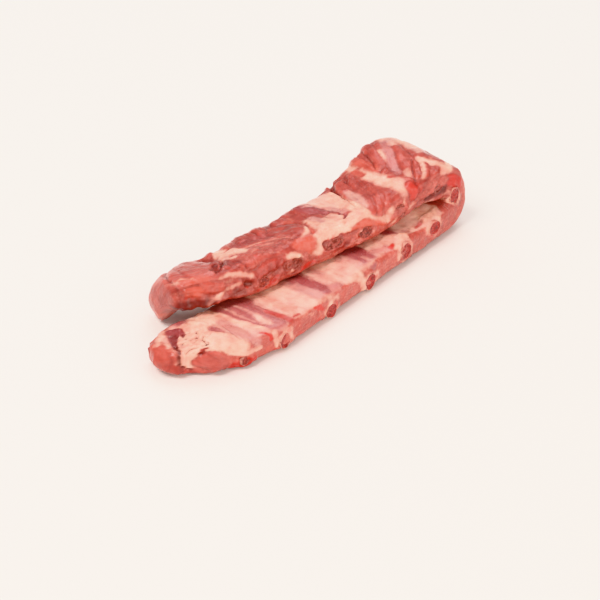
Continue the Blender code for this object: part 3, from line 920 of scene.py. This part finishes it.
def work_out(tree, known, steps):
    """Add sums, each written as its own name, the operation, then numbers or names already known."""
    for step in steps.split(","):
        name, way, *terms = step.split()
        links = {slot: known[term] if term in known else float(term) for slot, term in enumerate(terms)}
        known[name] = add(tree, "ShaderNodeMath", links, operation=way)[0]
    return known


def new_material(name):
    """An empty material and its node tree."""
    material = bpy.data.materials.new(name)
    material.use_nodes = True
    material.node_tree.nodes.clear()
    return material, material.node_tree


def tissue_share(tree, name, breaks, depth):
    """A tissue's mask with its edge broken up by noise, from 0 to 1."""
    mask = add(tree, "ShaderNodeAttribute", attribute_name=name)["Fac"]
    known = {"mask": mask, "breaks": breaks, "depth": depth, "half": depth / 2}
    sums = work_out(tree, known, "moved MULTIPLY_ADD breaks depth mask, centred SUBTRACT moved half")
    return add(tree, "ShaderNodeMapRange", {"Value": sums["centred"], "From Min": 0.08, "From Max": 0.92},
               interpolation_type="SMOOTHSTEP")["Result"]


def raw_pork():
    """Raw pork, freshly cut and moist: fibres in the lean, cream fat, clear membrane and a soft wet sheen."""
    material, tree = new_material("raw pork, fresh cut and moist")
    here = add(tree, "ShaderNodeTexCoord")["Object"]
    line = add(tree, "ShaderNodeAttribute", attribute_name="grain")["Vector"]
    tone = add(tree, "ShaderNodeAttribute", attribute_name="tone")["Fac"]
    # fibre bundles 1.2 mm wide and 14 mm long, drawn coarser than real fibres so that they show
    bundles = add(tree, "ShaderNodeMapping", {"Vector": line, "Scale": (1 / 14.0, 1 / 1.2, 1.0)})["Vector"]
    # ragged edges of fat and film 2.5 mm across, and blotches of 9 mm
    fibre, broken, blotch = [
        add(tree, "ShaderNodeTexNoise", {"Vector": vector, "Scale": scale, "Detail": 3.0, "Roughness": rough})["Fac"]
        for vector, scale, rough in ((bundles, 1.0, 0.6), (here, 1 / (2.5 * MM), 0.6), (here, 1 / (9.0 * MM), 0.5))]
    # grains of the sawn flesh, 1.8 mm
    grains = add(tree, "ShaderNodeTexVoronoi", {"Vector": here, "Scale": 1 / (1.8 * MM)})["Distance"]

    sums = work_out(tree, {"tone": tone, "fibre": fibre, "blotch": blotch}, """
        base MULTIPLY_ADD tone .24 .14, grained MULTIPLY_ADD fibre .28 base, lean MULTIPLY_ADD blotch .4 grained,
        creamy MULTIPLY_ADD tone .16 blotch, streaky MULTIPLY_ADD fibre .4 creamy, fatty SUBTRACT streaky .2""")
    ramps = ((sums["lean"], "0 #622523 .25 #893833 .5 #a94d45 .75 #c1655b 1 #d88b7f"),
             (grains, "0 #e3998a .4 #c96e62 1 #ad5349"),
             (sums["fatty"], ".2 #d98e80 .4 #eaaf9c .55 #f3c4af .8 #fbdbc8"))
    colour, speck, cream = [add(tree, "ShaderNodeValToRGB", {"Fac": source}, stops=stops)["Color"]
                            for source, stops in ramps]
    shares = {}
    # the last layer, dark red-brown, paints dark tissue together with painted shade in creases, seams and recesses
    for name, breaks, depth, strength, paint_over in (
            ("warm", blotch, 0.3, 0.5, linear("#dd6a52")), ("cut", broken, 0.4, 0.3, speck),
            ("fat", broken, 0.55, 0.92, cream), ("film", broken, 0.3, 0.3, linear("#dfb0ac")),
            ("violet", blotch, 0.4, 0.78, linear("#94464a")), ("blood", blotch, 0.4, 0.85, linear("#c4281f")),
            ("deep", broken, 0.3, 0.85, linear("#64201a"))):
        shares[name] = tissue_share(tree, name, breaks, depth)
        part = add(tree, "ShaderNodeMath", {0: shares[name], 1: strength}, operation="MULTIPLY")[0]
        colour = add(tree, "ShaderNodeMix", {0: part, 6: colour, 7: paint_over}, data_type="RGBA")[2]

    # fat is drier than lean, membrane wetter; fibres, ragged fat and the grains of sawn flesh stand out
    sums = work_out(tree, {**shares, "fibre": fibre, "blotch": blotch, "broken": broken, "grains": grains}, """
        patchy MULTIPLY_ADD blotch .3 .2, dry MULTIPLY_ADD fat .12 patchy, wet MULTIPLY_ADD film -.08 dry,
        muscle SUBTRACT 1 fat, grooves MULTIPLY fibre muscle, sawn MULTIPLY cut grains,
        rough MULTIPLY_ADD sawn -.6 grooves, height MULTIPLY_ADD broken .5 rough""")
    bump = add(tree, "ShaderNodeBump", {"Height": sums["height"], "Strength": 0.45, "Distance": 0.6 * MM})
    shader = add(tree, "ShaderNodeBsdfPrincipled", {
        "Base Color": colour, "Roughness": sums["wet"], "IOR": 1.4, "Normal": bump["Normal"],
        "Subsurface Weight": 0.12, "Subsurface Radius": (1.0, 0.4, 0.25), "Subsurface Scale": 1.5 * MM,
        "Coat Weight": 0.3, "Coat Roughness": 0.18, "Coat IOR": 1.4})
    add(tree, "ShaderNodeOutputMaterial", {"Surface": shader["BSDF"]})
    return material


def sawn_bone():
    """Rib bone sawn across: a pale hard rim round red, spongy, moist marrow."""
    material, tree = new_material("rib bone, sawn across and moist")
    here = add(tree, "ShaderNodeTexCoord")["Object"]
    share, brown = [add(tree, "ShaderNodeAttribute", attribute_name=name)["Fac"] for name in ("core", "brown")]
    # sponge of the marrow in cells of 1.5 mm, and clouds of 4 mm that make the rim uneven
    sponge = add(tree, "ShaderNodeTexVoronoi", {"Vector": here, "Scale": 1 / (1.5 * MM)})["Distance"]
    cloudy = add(tree, "ShaderNodeTexNoise", {"Vector": here, "Scale": 1 / (4.0 * MM), "Detail": 2.0})["Fac"]
    sums = work_out(tree, {"cloudy": cloudy, "share": share, "brown": brown},
                    "moved MULTIPLY_ADD cloudy .9 share, edge SUBTRACT moved .45, stained MULTIPLY brown .9")
    core = add(tree, "ShaderNodeMapRange", {"Value": sums["edge"], "From Min": 0.02, "From Max": 0.24},
               interpolation_type="SMOOTHSTEP")["Result"]
    ramps = ((sponge, "0 #c03a31 .5 #991f1a 1 #6c120f"), (sponge, "0 #b3685b .5 #84382f 1 #5c2119"),
             (cloudy, ".35 #c4766a .65 #e6b3a1"))
    red, dull, rim = [add(tree, "ShaderNodeValToRGB", {"Fac": source}, stops=stops)["Color"]
                      for source, stops in ramps]
    marrow = add(tree, "ShaderNodeMix", {0: brown, 6: red, 7: dull}, data_type="RGBA")[2]
    rim = add(tree, "ShaderNodeMix", {0: sums["stained"], 6: rim, 7: linear("#8f4037")}, data_type="RGBA")[2]
    colour = add(tree, "ShaderNodeMix", {0: core, 6: rim, 7: marrow}, data_type="RGBA")[2]
    bump = add(tree, "ShaderNodeBump", {"Height": sponge, "Strength": 0.6, "Distance": 0.6 * MM})
    shader = add(tree, "ShaderNodeBsdfPrincipled", {
        "Base Color": colour, "Roughness": 0.4, "IOR": 1.45, "Normal": bump["Normal"],
        "Coat Weight": 0.2, "Coat Roughness": 0.2, "Subsurface Weight": 0.08, "Subsurface Scale": 1.0 * MM})
    add(tree, "ShaderNodeOutputMaterial", {"Surface": shader["BSDF"]})
    return material


def pale_floor():
    """Matt pale board for the studio floor."""
    material, tree = new_material("pale matt studio board")
    shader = add(tree, "ShaderNodeBsdfPrincipled", {"Base Color": linear("#f0eeec"), "Roughness": 0.8})
    add(tree, "ShaderNodeOutputMaterial", {"Surface": shader["BSDF"]})
    return material


# ---------------------------------------------------------------- the ribs, made by Geometry Nodes
FACE_SHARE = 0.6
# a grid from -0.5 to 0.5 each way becomes a rod: its long side runs from pole to pole over the faces
ROD_STEPS = """
    turned ADD across .5, angle MULTIPLY turned whole_turn, off_middle ABSOLUTE along, twice MULTIPLY off_middle 2,
    way SUBTRACT 1 twice, ratio DIVIDE way face_share, radial MINIMUM ratio 1, past SUBTRACT way face_share,
    past_rim MAXIMUM past 0, down DIVIDE past_rim rod_share, end SIGN along, left SUBTRACT 1 down,
    reach MULTIPLY end left, cosine COSINE angle, sine SINE angle, aside MULTIPLY radial cosine,
    up MULTIPLY radial sine, steep MULTIPLY down 40, capped MINIMUM steep 1, on_face SUBTRACT 1 capped,
    inner SUBTRACT 1 radial, face_core MULTIPLY inner on_face, core MULTIPLY face_core 2.2,
    rim MULTIPLY radial on_face"""
# the marrow sinks into the rod, the rim rounds off, and the outline swells and narrows
FACE_STEPS = """
    deeper MULTIPLY core 1.6, hollow MINIMUM deeper 1, sink MULTIPLY hollow Marrow_depth, edge POWER radial 8,
    rounding MULTIPLY edge Rim_rounding, fine_off SUBTRACT fine .5, uneven MULTIPLY fine_off Unevenness,
    both ADD sink rounding, inward SUBTRACT both uneven, outwards MULTIPLY end -1, travel MULTIPLY inward outwards,
    coarse_off SUBTRACT coarse .5, swell MULTIPLY coarse_off Outline_wander"""
RIB_INPUTS = {"Rim rounding": 0.3 * MM, "Marrow depth": 0.8 * MM, "Unevenness": 0.6 * MM, "Outline wander": 3.0 * MM,
              "Seed": 5}


def rib_tree(material):
    """Tree that sets one rounded rib rod at every point, with a rim and sunken marrow at both ends."""
    tree = bpy.data.node_groups.new("sawn_ribs", "GeometryNodeTree")
    tree.interface.new_socket("Geometry", in_out="INPUT", socket_type="NodeSocketGeometry")
    for name, value in RIB_INPUTS.items():
        kind = "NodeSocketInt" if name == "Seed" else "NodeSocketFloat"
        tree.interface.new_socket(name, in_out="INPUT", socket_type=kind).default_value = value
    tree.interface.new_socket("Geometry", in_out="OUTPUT", socket_type="NodeSocketGeometry")
    inside = add(tree, "NodeGroupInput")
    here = add(tree, "GeometryNodeInputPosition")[0]
    stored = {name: add(tree, "GeometryNodeInputNamedAttribute", {"Name": name}, data_type=kind)["Attribute"]
              for kind, names in (("FLOAT", ("core", "end", "radial")), ("FLOAT_VECTOR", ("turn", "size", "axis")))
              for name in names}
    made = add(tree, "GeometryNodeMeshGrid", {"Size X": 1.0, "Size Y": 1.0, "Vertices X": 41, "Vertices Y": 34})["Mesh"]
    where = add(tree, "ShaderNodeSeparateXYZ", {0: here})
    rod = work_out(tree, {"across": where["X"], "along": where["Y"], "whole_turn": 2 * np.pi, "face_share": FACE_SHARE,
                          "rod_share": 1.0 - FACE_SHARE}, ROD_STEPS)
    for name, value in (("core", rod["core"]), ("end", rod["end"]), ("radial", rod["rim"])):
        made = add(tree, "GeometryNodeStoreNamedAttribute", {"Geometry": made, "Name": name, "Value": value},
                   data_type="FLOAT", domain="POINT")[0]
    spot = add(tree, "ShaderNodeCombineXYZ", {0: rod["aside"], 1: rod["reach"], 2: rod["up"]})[0]
    made = add(tree, "GeometryNodeSetPosition", {"Geometry": made, "Position": spot})[0]
    points = add(tree, "GeometryNodeMeshToPoints", {"Mesh": inside["Geometry"]})[0]
    made = add(tree, "GeometryNodeInstanceOnPoints", {"Points": points, "Instance": made, "Rotation": stored["turn"],
                                                      "Scale": stored["size"]})[0]
    made = add(tree, "GeometryNodeRealizeInstances", {"Geometry": made})[0]
    made = add(tree, "GeometryNodeMergeByDistance", {"Geometry": made, "Distance": 2e-6})[0]
    # the outline wanders in forms of 6 mm; the marrow sinks unevenly along the rib, in forms of 2.2 mm
    noises = {name: add(tree, "ShaderNodeTexNoise", {"Vector": here, "W": inside["Seed"], "Scale": 1 / (size * MM),
                                                     "Detail": 1.0}, noise_dimensions="4D")["Fac"]
              for name, size in (("coarse", 6.0), ("fine", 2.2))}
    inputs = {name.replace(" ", "_"): inside[name] for name in RIB_INPUTS}
    face = work_out(tree, {**stored, **noises, **inputs}, FACE_STEPS)
    normal = add(tree, "GeometryNodeInputNormal")[0]
    for direction, amount in ((normal, face["swell"]), (stored["axis"], face["travel"])):
        offset = add(tree, "ShaderNodeVectorMath", {0: direction, "Scale": amount}, operation="SCALE")[0]
        made = add(tree, "GeometryNodeSetPosition", {"Geometry": made, "Offset": offset})[0]
    made = add(tree, "GeometryNodeSetShadeSmooth", {"Geometry": made})[0]
    made = add(tree, "GeometryNodeSetMaterial", {"Geometry": made, "Material": material})[0]
    add(tree, "NodeGroupOutput", {"Geometry": made})
    return tree


def build_ribs(material):
    """The thirteen ribs as one joined mesh."""
    places = []
    for (near_end, far_end), up, (*_, wide, high, brown) in RIB_ENDS:
        half = np.linalg.norm(far_end - near_end) / 2
        axis = (far_end - near_end) / (2 * half)
        aside = np.cross(axis, up)
        aside /= np.linalg.norm(aside)
        turn = Matrix((Vector(aside), Vector(axis), Vector(np.cross(aside, axis)))).transposed().to_euler()
        places.append(((near_end + far_end) / 2 * MM, tuple(turn), (wide * MM, half * MM, high * MM), axis, brown))
    spots, turns, sizes, axes, browns = zip(*places)
    source = mesh_piece("rib_places", [tuple(spot) for spot in spots])
    for name, values in (("turn", turns), ("size", sizes), ("axis", axes), ("brown", browns)):
        keep(source.data, name, values)
    modifier = source.modifiers.new("sawn ribs", "NODES")
    modifier.node_group = rib_tree(material)
    for item in modifier.node_group.interface.items_tree:
        if item.in_out == "INPUT" and item.name in RIB_INPUTS:
            modifier[item.identifier] = RIB_INPUTS[item.name]
    baked = bpy.data.meshes.new_from_object(source.evaluated_get(bpy.context.evaluated_depsgraph_get()))
    source.modifiers.clear()
    bpy.data.objects.remove(source)
    close_up(baked)
    return piece_of(baked, "rib_bones")


meat = build_meat()
meat.data.materials.append(raw_pork())
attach(meat, "root")
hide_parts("meat")

ribs = build_ribs(sawn_bone())
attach(ribs, "root")
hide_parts(*[f"rib_bone_{k:02d}" for k in range(1, len(RIB_PLACES) + 1)])


# ---------------------------------------------------------------- studio
REACH = 6.0
FLOOR_DROP = 0.1 * MM
MIDDLE = (0.0, 0.0, 0.02)


def stand(thing, spot, target):
    """Put a lamp or the camera at a spot, looking at a target."""
    thing.location = spot
    thing.rotation_euler = (Vector(target) - Vector(spot)).to_track_quat("-Z", "Y").to_euler()
    bpy.context.scene.collection.objects.link(thing)


corners = [(-REACH, -REACH), (REACH, -REACH), (REACH, REACH), (-REACH, REACH)]
floor = mesh_piece("studio_floor", [(x, y, -FLOOR_DROP) for x, y in corners], [(0, 1, 2, 3)])
floor.data.materials.append(pale_floor())

# square lamps: place, target, size in metres, watts and colour
for name, spot, target, size, watts, code in (
        ("key_light", (-1.1, 0.3, 1.9), MIDDLE, 1.1, 46, "#fffaf4"),
        ("fill_light", (-1.3, -1.4, 1.15), MIDDLE, 1.2, 16, "#fff4ea"),
        ("slot_light", (0.2, -2.0, 0.42), (0.03, 0.0, 0.03), 1.6, 28, "#fff4ea"),
        ("top_light", (0.9, 0.6, 2.0), MIDDLE, 1.5, 22, "#ffffff")):
    lamp = bpy.data.lights.new(name, "AREA")
    lamp.shape = "SQUARE"
    lamp.size = size
    lamp.energy = watts
    lamp.color = linear(code)[:3]
    stand(bpy.data.objects.new(name, lamp), spot, target)

world = bpy.data.worlds.new("studio")
world.use_nodes = True
background = world.node_tree.nodes["Background"].inputs
background["Color"].default_value = linear("#fffbf8")
background["Strength"].default_value = 0.42
bpy.context.scene.world = world
bpy.context.scene.view_settings.view_transform = "Khronos PBR Neutral"

camera_data = bpy.data.cameras.new("camera")
camera_data.lens = 140.2
camera_data.sensor_width = 36.0
camera_data.clip_end = 50.0
camera = bpy.data.objects.new("camera", camera_data)
stand(camera, (-0.9724, -0.7872, 0.8314), (-0.0151, -0.0175, 0.0))
bpy.context.scene.camera = camera
